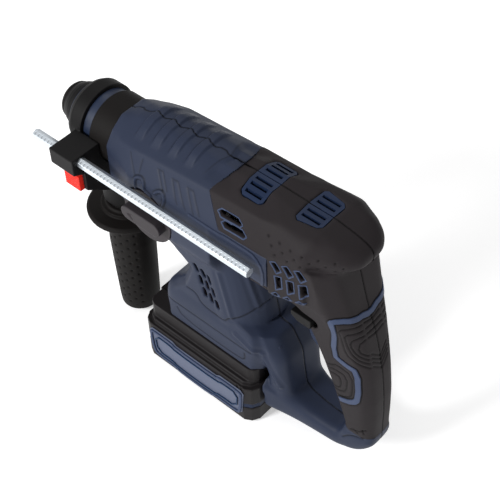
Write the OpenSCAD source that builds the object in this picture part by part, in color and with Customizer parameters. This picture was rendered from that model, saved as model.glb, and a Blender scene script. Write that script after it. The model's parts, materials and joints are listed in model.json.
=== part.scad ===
// Cordless SDS-plus rotary hammer with a slide-on battery.
// Millimetres. +X runs forward along the spindle, +Y is the tool's left side, +Z is up.
// The origin is the centre of the battery's flat underside, on which the tool stands.

/* [Spindle and chuck] */
// Height of the spindle axis above the battery's underside
axis_z = 196.5; // [196:0.5:198]
// Radius of the tool bore in the spindle
tool_bore_r = 5.05; // [5.02:0.01:5.1]
// Outer radius of the gear case's nose, under the rubber ring
nose_r = 24; // [23.5:0.1:24.4]
// Outer radius of the seat that the side handle clamps on
seat_r = 22.5; // [22:0.1:22.8]
// Outer radius of the locking sleeve
sleeve_r = 18.8; // [18:0.1:19]
// Travel of the locking sleeve
sleeve_travel = 6; // [5:0.5:6]
// Outer radius of the piston
piston_r = 11.95; // [11.9:0.01:11.95]

/* [Gear train] */
// Distance of the layshaft below the spindle
shaft_drop = 33.5; // [33.4:0.1:33.6]
// Tip radius of the spindle's gear
spindle_gear_r = 24; // [22:0.1:24.1]
// Tip radius of the layshaft's pinion
shaft_pinion_r = 9; // [7:0.1:9.1]
// Teeth of the spindle's gear
spindle_gear_teeth = 40; // [36:1:44]
// Teeth of the layshaft's pinion
shaft_pinion_teeth = 15; // [12:1:18]

/* [Mode knob] */
// Distance of the knob's axis in front of the origin
knob_x = 35.5; // [34:0.5:38]
// Height of the knob's axis
knob_z = 173; // [171:0.5:173]
// Radius of the knob's disc
knob_r = 22.5; // [20:0.5:22.5]

/* [Motor] */
// Lean of the motor's axis towards the nose
motor_lean = 12; // [11:0.5:13]
// Outer radius of the stator
stator_r = 25; // [24:0.5:25.5]
// Outer radius of the motor's fan
fan_r = 23.5; // [20:0.5:24]

/* [Shell] */
// Wall of the moulded shell
wall = 3; // [2.5:0.1:3.2]
// Outer radius of the motor drum
drum_r = 29.5; // [29.5:0.1:30]

/* [Side handle] */
// Distance of the grip's axis in front of the origin
grip_x = 100; // [99:0.5:102]
// Radius of the grip's hand stop
flange_r = 32.5; // [29:0.5:33]
// Radius of the grip at its upper end
grip_r = 18.5; // [17:0.5:19]
// Across-flats size of the depth rod
rod_af = 7; // [6:0.5:7]
// Rear end of the depth rod
rod_x0 = -68; // [-69:1:-60]
// Front end of the depth rod
rod_x1 = 138; // [130:1:150]
// Distance of the depth rod to the left of the spindle
rod_y = 44.5; // [44.5:0.5:45]

/* [Battery] */
// Length of the battery
batt_len = 116; // [112:1:118]
// Width of the battery's case, without its side panels
batt_wid = 73; // [72:1:74]
// Height of the battery's full-width case
batt_h = 46; // [44:1:46]

/* [Hidden] */
$fn = 64;
eps = 0.01;

// Colours
blue = [0.12, 0.15, 0.24];
blue_light = [0.2, 0.25, 0.38];
grey = [0.11, 0.105, 0.105];
black = [0.05, 0.05, 0.055];
steel = [0.66, 0.68, 0.7];
alu = [0.72, 0.73, 0.74];
red = [0.85, 0.1, 0.06];
brass = [0.8, 0.62, 0.3];
copper = [0.75, 0.42, 0.22];
green = [0.08, 0.3, 0.16];

shaft_z = axis_z - shaft_drop;
apex = [-12.8, 0, shaft_z];
wobble_x = 16;

// ---------- Primitives placed by their limits
module xcyl(x0, x1, r, y = 0, z = axis_z) {
  translate([x0, y, z]) rotate([0, 90, 0]) cylinder(h = x1 - x0, r = r);
}
module xcone(x0, x1, r0, r1, y = 0, z = axis_z) {
  translate([x0, y, z]) rotate([0, 90, 0]) cylinder(h = x1 - x0, r1 = r0, r2 = r1);
}
module ycyl(y0, y1, r, x, z) {
  translate([x, y0, z]) rotate([-90, 0, 0]) cylinder(h = y1 - y0, r = r);
}
module zcyl(z0, z1, r, x = 0, y = 0) {
  translate([x, y, z0]) cylinder(h = z1 - z0, r = r);
}
module box(x0, x1, y0, y1, z0, z1) {
  translate([x0, y0, z0]) cube([x1 - x0, y1 - y0, z1 - z0]);
}
module xring(x0, x1, ro, ri, z = axis_z) {
  difference() {
    xcyl(x0, x1, ro, 0, z);
    xcyl(x0 - 1, x1 + 1, ri, 0, z);
  }
}
// An outline in the side view, from y0 to y1
module side(y0, y1) {
  translate([0, y1, 0]) rotate([90, 0, 0]) linear_extrude(y1 - y0) children();
}
// An outline in the front view, from x0 to x1
module front(x0, x1) {
  translate([x0, 0, 0]) rotate([90, 0, 90]) linear_extrude(x1 - x0) children();
}
// The motor's own frame: +Z up its leaning axis, origin where it meets the layshaft
module motor_frame() {
  translate(apex) rotate([0, motor_lean, 0]) children();
}
// A gear outline with straight-sided teeth
module gear2d(r, teeth, depth) {
  step = 360 / teeth;
  polygon([for (i = [0 : teeth - 1]) for (k = [[0, 1], [0.3, 1], [0.45, 0], [0.85, 0]])
    let (a = (i + k[0]) * step, q = r - depth * (1 - k[1])) [q * cos(a), q * sin(a)]]);
}

// ---------- Shell lofts. Each section is [x, half width, top, bottom, corner cuts]
// cuts are [top across, top down, bottom across, bottom up], then the shoulder ridge if it has one
function octagon(w, t, b, c, e) = concat(
  [[-w + e + c[0] * 0.9, t - e], [w - e - c[0] * 0.9, t - e]],
  len(c) > 4 ? [[w - c[4] - e * 0.75, t - c[5] - e * 0.65]] : [],
  [[w - e, t - e - c[1] * 0.9], [w - e, b + e + c[3] * 0.9], [w - e - c[2] * 0.9, b + e],
   [-w + e + c[2] * 0.9, b + e], [-w + e, b + e + c[3] * 0.9], [-w + e, t - e - c[1] * 0.9]],
  len(c) > 4 ? [[-w + c[4] + e * 0.75, t - c[5] - e * 0.65]] : []);
module slab_x(s, e, dx) {
  front(s[0] + dx, s[0] + dx + 0.1) polygon(octagon(s[1], s[2], s[3], s[4], e));
}
module loft_x(list, e) {
  n = len(list);
  for (i = [0 : n - 2]) hull() {
    slab_x(list[i], e, i == 0 ? e : 0);
    slab_x(list[i + 1], e, i == n - 2 ? -e - 0.1 : 0);
  }
}
// Sections across Z are [z, x rear, x front, half width, corner cut]
function chamfered(x0, x1, w, c, e) = [
  [x0 + e + c, -w + e], [x1 - e - c, -w + e], [x1 - e, -w + e + c], [x1 - e, w - e - c],
  [x1 - e - c, w - e], [x0 + e + c, w - e], [x0 + e, w - e - c], [x0 + e, -w + e + c]];
module slab_z(s, e, dz) {
  translate([0, 0, s[0] + dz]) linear_extrude(0.1) polygon(chamfered(s[1], s[2], s[3], s[4], e));
}
module loft_z(list, e) {
  n = len(list);
  for (i = [0 : n - 2]) hull() {
    slab_z(list[i], e, i == 0 ? e : 0);
    slab_z(list[i + 1], e, i == n - 2 ? -e - 0.1 : 0);
  }
}

gear_sections = [
  [-25, 38, 235.5, 141, [33, 32, 16, 26, 10.7, 10]],
  [15, 37.5, 235.2, 139, [33, 32, 16, 28, 10, 12.5]],
  [52, 36.5, 233.5, 140, [33, 32, 16, 30, 8.5, 13.5]],
  [66, 33, 230, 146, [29, 28, 16, 26, 7, 12]],
  [81, 28.5, 224.5, 160, [20, 20, 14, 18, 7.6, 7.6]]
];
// Where the blue roof runs back beside the cover
tail_sections = [
  [-37, 38, 235.5, 182, [33, 32, 4, 6, 10.7, 10]],
  [-24, 38, 235.5, 182, [33, 32, 4, 6, 10.7, 10]]
];
channel_sections = [
  [-75, 37.5, 209, 172, [3, 8, 10, 10]],
  [-25, 38.5, 209, 172, [3, 8, 10, 10]]
];
cover_sections = [
  [-103, 33, 234, 168, [18, 11, 12, 14, 8, 2]],
  [-80, 36, 234.9, 154, [26, 23, 18, 24, 10.5, 4]],
  [-60, 37, 235.3, 150, [31, 31, 18, 25, 10.2, 8]],
  [-17, 38, 235.5, 148, [33, 32, 18, 26, 10.7, 10]]
];
lip_sections = [
  [-133, 11, 225, 216, [5, 3, 4, 3]],
  [-127, 19, 229, 213, [8, 5, 6, 5]],
  [-118, 25, 231.5, 211, [9, 7, 8, 7]],
  [-103, 31, 234, 206, [16, 10, 10, 10, 7, 2.5]]
];
neck_sections = [
  [44.5, -151.5, -125.5, 15, 6],
  [66, -151.5, -118.5, 16, 7],
  [86, -150.5, -112, 16.5, 7],
  [112, -147.5, -101.5, 17, 7],
  [130, -144, -94, 18, 7],
  [152, -138.5, -84, 21, 8],
  [176, -130, -68, 29, 12],
  [212, -120, -60, 33, 12]
];
leg_sections = [
  [60, -58, 38, 29, 7],
  [83, -61, 38.5, 30.5, 7],
  [91, -62, 38, 30, 8],
  [98, -60, 30, 28.5, 8],
  [108, -34, 20, 28, 8],
  [132, -26, 12, 27.5, 8],
  [152, -24, 34, 30, 8]
];
root_sections = [
  [28, -84, -58.9, 21.7, 6],
  [60, -79, -58.9, 23.7, 6],
  [80, -77, -50, 25, 7],
  [99, -66, -40, 24, 8]
];
beam_sections = [
  [-152, 12.5, 45, 35, [3, 5, 4, 5]],
  [-146, 14, 45, 26, [3, 5, 5, 6]],
  [-138, 15.2, 45, 18.5, [3, 5, 6, 6]],
  [-127, 16.2, 45, 14, [3, 5, 7, 7]],
  [-123, 17, 33.5, 13, [5, 4, 7, 7]],
  [-100, 19, 35.5, 12.4, [5, 4, 8, 8]],
  [-88, 20, 38.5, 12, [5, 4, 8, 8]],
  [-76, 22.4, 44, 12, [7, 5, 9, 9]],
  [-59.2, 27, 50, 14, [6, 6, 9, 9]]
];

module drum(e) {
  motor_frame() translate([0, 0, -68 + e]) cylinder(h = 76 - e, r = drum_r - e, $fn = 32);
}
// The whole blue shell's outside, or its inside when e is the wall
module blue_solid(e) {
  loft_x(gear_sections, e);
  loft_z(leg_sections, e);
  drum(e);
}
module frame_solid(e) {
  loft_z(root_sections, e);
  loft_x(beam_sections, e);
}
// The two regions that only the outside has: the rod's channel and the D frame
module blue_outer() {
  blue_solid(0);
  loft_x(channel_sections, 0);
  loft_x(tail_sections, 0);
  frame_solid(0);
}
module blue_inner() {
  blue_solid(wall);
  difference() {
    frame_solid(wall);
    box(-160, -120, -40, 40, 0, 38);
  }
  // joins the rooms of the leg, the drum and the frame
  box(-70, -40, -18, 18, 70, 92);
  box(-22, 8, -22, 22, 128, 150);
  // room behind the gear case, over the motor
  box(-72, -20, -32, 32, 176, 206);
  roof_room(-40, -16);
  // nose tube and battery tongue
  xcyl(60, 90, nose_r + 0.3);
  box(-52, 60, -21.5, 21.5, 63.5, 74.6);
}

// ---------- Screws that join the halves, as [x, z, half width at the head]
screw_spots = [
  [73, 162, 24], [-12, 220, 29], [23, 88, 26.5], [-66, 72, 23.5],
  [-138, 32, 13.5], [-104, 21.5, 14.5], [10, 118, 26]
];
module screw_posts() {
  for (s = screw_spots) ycyl(-40, 40, 4.2, s[0], s[1]);
}
module screw_cuts() {
  for (s = screw_spots) {
    ycyl(-45, -s[2] + 4, 3.6, s[0], s[1]);
    ycyl(-45, 9.2, 1.75, s[0], s[1]);
  }
}

// Room under the roof where the blue shell and the cover meet
module roof_room(x0, x1) {
  front(x0, x1) polygon([[-33.5, 200], [33.5, 200], [33.5, 208], [24, 222.5], [8, 231.5],
                         [-8, 231.5], [-24, 222.5], [-33.5, 208]]);
}
// The line where blue meets grey: back at the seam, forward at the ridge, back down the flank
module meeting(g) {
  side(-60, 60) polygon([[-160, 44.6 + g], [-25 - g, 44.6 + g], [-25 - g, 150],
    [-34.7 - g, 207 - g], [-18 - g, 225.4], [-25.4 - g, 235.4], [-25.7 - g, 240], [-160, 240]]);
}

// Openings of the blue shell that both halves share
module blue_cuts() {
  screw_cuts();
  // motor air slots, three rows of three
  for (i = [0 : 2]) for (k = [0 : 2])
    for (m = [-1, 1]) scale([1, m, 1])
      translate([-2.5 - 6.5 * i - 3.4 * k, 20, 132 - 11 * k - 1.5 * i]) rotate([0, 14, 0])
        cube([3, 14, 9]);
  // battery rail mouth
  box(-52, 60, -21.5, 21.5, 63, 74.6);
  box(-52, 60, -17.5, 17.5, 59, 66);
}

module housing_half(m) {
  $fn = 24;
  difference() {
    intersection() {
      union() {
        difference() {
          blue_outer();
          blue_inner();
        }
        intersection() {
          blue_outer();
          screw_posts();
        }
      }
      scale([1, m, 1]) box(-160, 100, 0, 60, 0, 240);
    }
    // the rubber cover and the handle fill this room
    difference() {
      meeting(0);
      box(-75.1, -24, -60, 60, 172, 207);
      box(-66.2, -20, -60, 60, 40, 173);
      box(-90, -30, -60, 60, 40, 100);
    }
    blue_cuts();
    gear_room();
    motor_room();
    mode_hole();
  }
}
// Room for the gear case and what turns in it
module gear_room() {
  xcyl(-6, 66, 29);
  xcyl(-20, 66, 19.4, 0, shaft_z);
  box(-6, 66, -19.4, 19.4, shaft_z, 190);
  motor_frame() translate([0, 0, -36]) cylinder(h = 38, r = 13);
}
module motor_room() {
  motor_frame() translate([0, 0, -84.5]) cylinder(h = 58, r = stator_r + 0.4);
}
module mode_hole() {
  ycyl(20, 60, 5.3, knob_x, knob_z);
  ycyl(34.2, 60, knob_r + 0.6, knob_x, knob_z);
}
// Flat that the depth rod lies against
module rod_groove() {
  box(-71, 90, 39.5, 60, 186, 206);
}

// ---------- Blue housing halves
module housing_left() {
  color(blue) difference() {
    housing_half(1);
    rod_groove();
  }
}
module housing_right() {
  color(blue) housing_half(-1);
}

// ---------- Grey rubber covers with the neck and the handle
module cover_solid(e) {
  loft_x(cover_sections, e);
  loft_x(lip_sections, e);
  loft_z(neck_sections, e);
}
module cover_half(m) {
  $fn = 24;
  difference() {
    intersection() {
      difference() {
        cover_solid(0);
        cover_solid(wall);
        box(-60, -14, -31, 31, 158, 206);
        roof_room(-60, -14);
        box(-108, -70, -19, 19, 190, 226);
      }
      meeting(0.2);
      scale([1, m, 1]) box(-160, 0, 0, 60, 0, 240);
    }
    // the blue channel, the leg and the drum stand here
    box(-75.3, -20, 20, 60, 120, 207.2);
    box(-75.3, -20, -60, -20, 120, 207.2);
    motor_frame() translate([0, 0, -70]) cylinder(h = 85, r = drum_r + 0.3);
    box(-44, -20, -60, 60, 120, 176);
    // trigger and direction lever openings
    box(-112, -80, -8.6, 8.6, 105.4, 131.6);
    box(-103, -78, -30, 30, 142.4, 152);
    // vent insert pockets
    vent_plate_front(0.15, 4);
    vent_plate_rear(0.15, 4);
    // side slots
    for (s = [[-30.3, 216.4], [-35.7, 211.2]]) side(-60, 60)
      polygon([[s[0], s[1] + 1.6], [s[0] - 1.8, s[1] + 3.1], [s[0] - 16, s[1] + 3.7],
               [s[0] - 20, s[1] + 1.6], [s[0] - 18.7, s[1] + 0.4], [s[0] - 3, s[1]]]);
    for (i = [0 : 2]) {
      side(-60, 60) translate([-9.1 * i, 1.2 * i]) {
        polygon([[-78.9, 206.8], [-81.7, 208.1], [-85.6, 202.6], [-83, 199.8]]);
        polygon([[-82.1, 194.8], [-85.8, 196.1], [-86.4, 186.7], [-83.1, 183.8]]);
        polygon([[-79.9, 176.4], [-82.3, 178.7], [-84.3, 177.5], [-81.9, 175.1]]);
      }
    }
  }
}
module cover_left() {
  color(grey) cover_half(1);
}
module cover_right() {
  color(grey) cover_half(-1);
}

// ---------- Blue vent inserts in the cover's top
module vent_plate_front(g, up) {
  for (m = [-1, 1]) scale([1, m, 1]) intersection() {
    translate([0, 0, 220]) linear_extrude(20)
      polygon([[-37 + g, 0.4 - g], [-37.4 + g, 16.6], [-39.6, 18.8 + g], [-53.6, 19.2 + g],
               [-56 - g, 17], [-56.6 - g, 0.4 - g]]);
    front(-60, -30) polygon([[0.4 - g, 235 + up], [8.6, 235 + up], [20, 229.7 + up],
                             [20, 226.2 - g], [8.2, 231.6 - g], [0.4 - g, 231.6 - g]]);
  }
}
module vent_plate_rear(g, up) {
  for (m = [-1, 1]) scale([1, m, 1])
    translate([0, 0, 230.9 - g]) linear_extrude(3 + up + g)
      polygon([[-80 + g, 0.4 - g], [-81 + g, 14.2], [-83.4, 16 + g], [-97.5, 13.8 + g],
               [-100.2 - g, 11], [-99.8 - g, 0.4 - g]]);
}
module vent_insert_front() {
  color(blue_light) difference() {
    vent_plate_front(0, 0);
    for (m = [-1, 1]) for (i = [0 : 2])
      translate([-53.6, m * (4.9 + 5.2 * i) - 1.2, 220]) cube([13.8, 2.4, 20]);
  }
}
module vent_insert_rear() {
  color(blue_light) difference() {
    vent_plate_rear(0, 0);
    for (m = [-1, 1]) for (i = [0 : 1])
      translate([-97.4, m * (4.7 + 5.6 * i) - 1.2, 228]) cube([14.6, 2.4, 8]);
  }
}

// ---------- Nose and gear case
module nose_ring() {
  color(black) difference() {
    union() {
      xcyl(81.2, 101, 26.2);
      xcone(101, 102.5, 26.2, 25.2);
    }
    xcyl(81, 103, nose_r + 0.02);
  }
}
module case_outline(r, rs) {
  translate([0, axis_z]) circle(r);
  translate([0, shaft_z]) circle(rs);
  translate([-rs, shaft_z]) square([2 * rs, 24]);
}
module gear_case() {
  color(alu) difference() {
    union() {
      front(1.2, 64) case_outline(28.3, 18.6);
      xcyl(63, 110, nose_r);
      xcyl(109, 127, seat_r);
    }
    front(0, 56) case_outline(25.3, 16.2);
    xcyl(50, 66, 19);
    xcyl(65, 78, 15.4);
    xcyl(77.9, 128, 19.5);
    xcyl(55, 61.1, 8, 0, shaft_z);
    ycyl(10, 30, 4.2, knob_x, knob_z);
  }
}
module gear_case_lid() {
  color(alu) difference() {
    union() {
      front(-2, 1.1) case_outline(28.3, 18.6);
      xcyl(1, 6, 10.4, 0, shaft_z);
    }
    xcyl(-1, 7, 8, 0, shaft_z);
    xcyl(-3, 0, 6, 0, shaft_z);
    xcyl(-3, 2, 4);
  }
}
module spindle_bearing() {
  color(steel) {
    xring(66, 74, 19 - 3.62, 13.02);
    xring(57, 64, 18.98, 15.02);
  }
}
module shaft_bearings() {
  color(steel) {
    xring(1, 4.9, 7.98, 4.02, shaft_z);
    xring(56, 61, 7.98, 4.02, shaft_z);
  }
}

// ---------- Motor
module tube(z0, z1, ro, ri) {
  difference() {
    zcyl(z0, z1, ro);
    zcyl(z0 - 1, z1 + 1, ri);
  }
}
module motor_stator() {
  color(copper) motor_frame() difference() {
    zcyl(-64, -36, stator_r);
    zcyl(-65, -35, 13.5);
    for (i = [0 : 5]) rotate([0, 0, 60 * i + 30]) box(12, 20, -3, 3, -70, -30);
  }
}
module motor_bearings() {
  color(steel) motor_frame() {
    tube(-25, -19, 8, 3.02);
    tube(-83, -77.5, 7, 3.02);
  }
}
module motor_rotor() {
  color(steel) motor_frame() {
    zcyl(-82.5, -13.4, 3);
    tube(-64, -36, 13, 3 - eps);
    tube(-35.9, -30, 5, 3 - eps);
  }
}
module motor_fan() {
  color(black) motor_frame() difference() {
    union() {
      tube(-76.5, -67, 8, 3.02);
      tube(-76.5, -75, fan_r, 7.5);
      for (i = [0 : 11]) rotate([0, 0, 30 * i]) box(7, fan_r - 1, -0.8, 0.8, -75.5, -67.5);
    }
    zcyl(-90, -60, 3.02);
  }
}
module motor_pinion() {
  color(steel) motor_frame() translate([0, 0, -13.4]) difference() {
    union() {
      cylinder(h = 1.5, r = 5);
      translate([0, 0, 1.5]) cylinder(h = 4.5, r1 = 5, r2 = 3.2);
    }
    translate([0, 0, -1]) cylinder(h = 0.99, r = 3.02);
  }
}

// ---------- Layshaft with bevel gear, wobble hub and pinion
module layshaft() {
  color(steel) {
    difference() {
      union() {
        xcyl(-8, 60.5, 4, 0, shaft_z);
        translate([wobble_x, 0, shaft_z]) sphere(r = 11);
        xcyl(6.3, 9, 6, 0, shaft_z);
        xcyl(26, 40, 6, 0, shaft_z);
        translate([40, 0, shaft_z]) rotate([90, 0, 90]) linear_extrude(12)
          gear2d(shaft_pinion_r, shaft_pinion_teeth, 2.1);
      }
    }
  }
}
module bevel_gear() {
  color(steel) difference() {
    union() {
      xcone(-9, -6.5, 10, 11.8, 0, shaft_z);
      xcyl(-6.5, -4.6, 11.8, 0, shaft_z);
      xcyl(-4.7, -2.4, 5.6, 0, shaft_z);
      for (i = [0 : 19]) translate([0, 0, shaft_z]) rotate([18 * i, 0, 0])
        box(-9.6, -8.8, -0.6, 0.6, 5.5, 9.8);
    }
    xcyl(-20, 0, 4.02, 0, shaft_z);
  }
}
// Ring that rocks on the hub and swings the finger fore and aft
module wobble_ring() {
  color(steel) difference() {
    union() {
      xcyl(wobble_x - 4, wobble_x + 4, 14.4, 0, shaft_z);
      zcyl(shaft_z + 13, shaft_z + 38, 3, wobble_x);
    }
    translate([wobble_x, 0, shaft_z]) sphere(r = 11.06);
  }
}

// ---------- Impact train
module piston() {
  color(steel) difference() {
    xcyl(wobble_x - 9, 60, piston_r);
    xcyl(28, 61, 9);
    zcyl(axis_z - 20, axis_z + 7, 5.3, wobble_x);
    box(wobble_x - 10, wobble_x + 9, -13, 13, axis_z - 13, axis_z - 9);
    box(wobble_x - 10, wobble_x + 9, -13, 13, axis_z + 9, axis_z + 13);
  }
}
module striker() {
  color(steel) {
    xcyl(34, 50, 8.95);
    xcone(50, 52, 8.95, 6);
    xcyl(51.9, 58, 5);
  }
}
module impact_bolt() {
  color(steel) {
    xcyl(74, 88, 5);
    xcyl(87.5, 97, 7.95);
    xcone(97, 98.3, 7.95, 4.9);
    xcyl(98.2, 104, 4.9);
  }
}

// ---------- Spindle, chuck
module spindle() {
  color(steel) difference() {
    union() {
      xcyl(28, 64.5, 15);
      xcyl(64, 128, 13);
      xcyl(105, 107.5, 17);
      xcyl(127, 145, 12.2);
    }
    xcyl(27, 84, 12);
    xcyl(83, 104.5, 8);
    xcyl(103, 150, tool_bore_r);
    // windows for the locking balls
    for (m = [-1, 1]) ycyl(m > 0 ? 4 : -14, m > 0 ? 14 : -4, 3.3, 130, axis_z);
  }
}
module spindle_gear() {
  color(steel) difference() {
    translate([40, 0, axis_z]) rotate([90, 0, 90]) linear_extrude(11)
      gear2d(spindle_gear_r, spindle_gear_teeth, 2.1);
    xcyl(30, 60, 15.02);
  }
}
module locking_balls() {
  color(steel) for (m = [-1, 1]) translate([130, m * 9.2, axis_z]) sphere(r = 3.1);
}
module sleeve_spring() {
  color(steel) xring(107.6, 113.9, 16.6, 14.8);
}
module dust_cap() {
  color(black) difference() {
    union() {
      xcyl(141.2, 142.6, 14.6);
      xcone(142.6, 146.6, 14.6, 11.8);
    }
    xcyl(140, 145.05, 12.22);
    xcyl(144, 150, tool_bore_r + 0.6);
  }
}
module locking_sleeve() {
  color(black) difference() {
    union() {
      xcyl(120, 133, sleeve_r);
      xcone(133, 141, sleeve_r, 14.8);
    }
    xcyl(119, 142, 13.05);
    // room for the balls when the sleeve is drawn back
    xcyl(123, 127, 15);
  }
}

// ---------- Mode knob
module mode_knob() {
  color(black) {
    ycyl(34.4, 37, knob_r, knob_x, knob_z);
    difference() {
      union() {
        box(knob_x - 13, knob_x + 13, 36.9, 44.4, knob_z - 6, knob_z + 6);
        for (m = [-1, 1]) ycyl(36.9, 44.4, 6, knob_x + 12.8 * m, knob_z);
      }
      // arrow mark
      translate([knob_x, 0, knob_z]) side(43.6, 45)
        polygon([[6, -4], [13, 0], [6, 4], [9, 0]]);
    }
  }
}
module mode_cam() {
  color(steel) {
    ycyl(25, 34.4, 5, knob_x, knob_z);
    ycyl(20, 25, 4, knob_x, knob_z);
    ycyl(16.9, 20, 1.6, knob_x + 2, knob_z);
  }
}

// ---------- Switches in the handle
module trigger() {
  color(blue_light) side(-8, 8) polygon([
    [-106, 107], [-101, 107], [-96, 108], [-91.5, 111.5], [-89, 117], [-88, 124],
    [-89.5, 130], [-106, 130]]);
}
module direction_lever() {
  color(black) difference() {
    box(-101, -84, -22.5, 22.5, 143.4, 151);
    side(-24, -20) polygon([[-90, 143], [-84, 143], [-84, 147]]);
    side(20, 24) polygon([[-90, 143], [-84, 143], [-84, 147]]);
  }
}
module switch_body() {
  color(black) box(-130, -113.5, -9.5, 9.5, 104, 130);
}

// ---------- Controller and battery contacts
module controller_board() {
  color(green) {
    box(-8, 30, -22, 22, 78, 79.6);
    for (i = [0 : 2]) box(9, 16, -16 + 12 * i, -8 + 12 * i, 79.6, 83);
    for (m = [-1, 1]) zcyl(79.6, 86, 4, 0, 12 * m);
  }
}
module terminal_block() {
  color(black) difference() {
    box(-51.8, -46, -17, 17, 64.4, 74.4);
    for (y = [-12, -4, 4, 12]) box(-48, -40, y - 0.51, y + 0.51, 66, 72);
  }
}
module terminal_blades() {
  color(brass) for (y = [-12, -4, 4, 12]) box(-48, -38, y - 0.5, y + 0.5, 66, 72);
}
module housing_screws() {
  color(steel) for (s = screw_spots) difference() {
    union() {
      ycyl(-s[2] + 1, -s[2] + 4, 3.3, s[0], s[1]);
      ycyl(-s[2] + 3.9, 8.8, 1.7, s[0], s[1]);
    }
    ycyl(-s[2] + 0.9, -s[2] + 2.6, 1.4, s[0], s[1]);
  }
}

// ---------- Side handle
module collar_outline() {
  // saddle, cheek and depth block seen from the front
  polygon([[-20, 150], [20, 150], [30, 157], [42.8, 166.6], [42.8, 183], [52.5, 187.6],
           [52.5, 201.4], [20, 201.4], [20, 190], [-20, 190], [-24, 170]]);
}
module handle_collar() {
  color(black) difference() {
    union() {
      xcyl(110.3, 121, 27);
      xcone(121, 125.2, 27, 24.6);
      front(91, 115) collar_outline();
      front(114, 124) polygon([[-20, 150], [20, 150], [26, 158], [26, 190], [-20, 190],
                               [-24, 170]]);
      zcyl(122.4, 150.5, 15, grip_x);
      zcyl(128, 150.5, 18, grip_x);
    }
    xcyl(90, 130, seat_r + 0.05);
    xcyl(90, 110.25, 26.6);
    // depth rod's hole and its window to the button
    translate([80, rod_y, axis_z - 0.4]) rotate([90, 0, 90]) linear_extrude(50)
      rotate(30) circle(r = (rod_af + 0.5) / sqrt(3), $fn = 6);
    box(94.6, 110.8, 33, 60, 165.1, 179.5);
    box(99, 107, 40, 47.2, 179, 194);
    // stud
    zcyl(100, 160, 4.05, grip_x);
    box(grip_x - 6.6, grip_x + 6.6, -6.6, 6.6, 154, 175);
  }
}
module handle_stud() {
  color(steel) {
    zcyl(60, 155, 4, grip_x);
    box(grip_x - 6.5, grip_x + 6.5, -6.5, 6.5, 154.2, 160);
  }
}
module side_grip() {
  color(black) difference() {
    union() {
      translate([grip_x, 0, 0]) rotate_extrude() polygon([
        [0, 2.4], [13.5, 2.4], [16, 4.5], [16.6, 12], [17.8, 50], [grip_r, 80], [17.6, 104],
        [19, 110], [flange_r - 1.5, 112.4], [flange_r, 113.4], [flange_r, 115.4],
        [flange_r - 2, 117], [21, 117.6], [20.5, 120], [17.5, 120.6], [17, 122.2], [0, 122.2]]);
    }
    zcyl(40, 130, 4.05, grip_x);
    zcyl(0, 30, 10, grip_x);
  }
}
module grip_end_plug() {
  color(black) zcyl(2.4, 29, 9.95, grip_x);
}
module depth_rod() {
  color(steel) difference() {
    translate([rod_x0, rod_y, axis_z - 0.4]) rotate([90, 0, 90]) linear_extrude(rod_x1 - rod_x0)
      rotate(30) circle(r = rod_af / sqrt(3), $fn = 6);
  }
}
module depth_button() {
  color(red) {
    box(95, 110.4, 36.5, 46, 165.5, 179);
    for (i = [0 : 5]) box(95.4, 110, 46 - eps, 46.7, 166.2 + 2.1 * i, 167.2 + 2.1 * i);
    box(99.6, 106.4, 43.6, 46.4, 178.9, 190.6);
  }
}

// ---------- Battery
module batt_plan(x1, w, c) {
  polygon([[-x1, -w + c], [-x1 + 0.35 * c, -w + 0.35 * c], [-x1 + c, -w], [x1 - c, -w],
           [x1 - 0.35 * c, -w + 0.35 * c], [x1, -w + c], [x1, w - c],
           [x1 - 0.35 * c, w - 0.35 * c], [x1 - c, w], [-x1 + c, w],
           [-x1 + 0.35 * c, w - 0.35 * c], [-x1, w - c]]);
}
half_len = batt_len / 2;
half_wid = batt_wid / 2;
module cell_room(z0, z1) {
  translate([0, 0, z0]) linear_extrude(z1 - z0) batt_plan(half_len - 3, 33.6, 8);
}
module battery_lower() {
  color(black) difference() {
    union() {
      translate([0, 0, 2]) linear_extrude(16) batt_plan(half_len, half_wid, 9);
      linear_extrude(2) batt_plan(half_len - 2, half_wid - 2, 9);
    }
    cell_room(2.6, 30);
  }
}
module battery_band() {
  color(blue_light) difference() {
    translate([0, 0, 18]) linear_extrude(5) batt_plan(half_len - 0.4, half_wid - 0.4, 9);
    cell_room(10, 30);
  }
}
module battery_upper() {
  color(black) difference() {
    union() {
      translate([0, 0, 23]) linear_extrude(19) batt_plan(half_len, half_wid, 9);
      translate([0, 0, 42]) linear_extrude(batt_h - 42) batt_plan(half_len - 3, half_wid - 3, 9);
      translate([0, 0, batt_h]) linear_extrude(59.6 - batt_h) batt_plan(55, 30, 6);
      box(-44, 36, -17, 17, 59, 68);
      box(-44, 36, -21, 21, 67.8, 73.8);
    }
    cell_room(20, 41.4);
    // slots for the tool's contact blades
    for (y = [-12, -4, 4, 12]) box(-45, -20, y - 1, y + 1, 64.5, 75);
    // latch pocket
    box(46, 60, -14.2, 14.2, 48.8, 70);
    // shoulder marks over the corners
    for (m = [-1, 1]) for (i = [0 : 2])
      box(-52 + 4 * i, -50 + 4 * i, m > 0 ? 35.8 : -40, m > 0 ? 40 : -35.8, 37, 43);
  }
}
module battery_labels() {
  color(blue_light) for (m = [-1, 1]) scale([1, m, 1])
    side(half_wid + 0.02, half_wid + 1) polygon([
      [-48, 12], [-44, 8], [-20, 8], [-17, 5.5], [18, 5.5], [21, 8], [42, 8], [47, 13],
      [49, 36], [46, 39], [24, 39], [20, 36.5], [-22, 36.5], [-26, 39], [-47, 39], [-50, 36]]);
}
module battery_cells() {
  color(blue_light) for (i = [0 : 4]) for (k = [0 : 1])
    ycyl(-32.5, 32.5, 9, -38.8 + 19.4 * i, 12.2 + 19.2 * k);
}
module battery_latch() {
  color(black) {
    box(50, 57, -14, 14, 49, 59);
    for (i = [0 : 2]) box(56.9, 57.6, -12, 12, 50.4 + 3 * i, 51.6 + 3 * i);
  }
}

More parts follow.
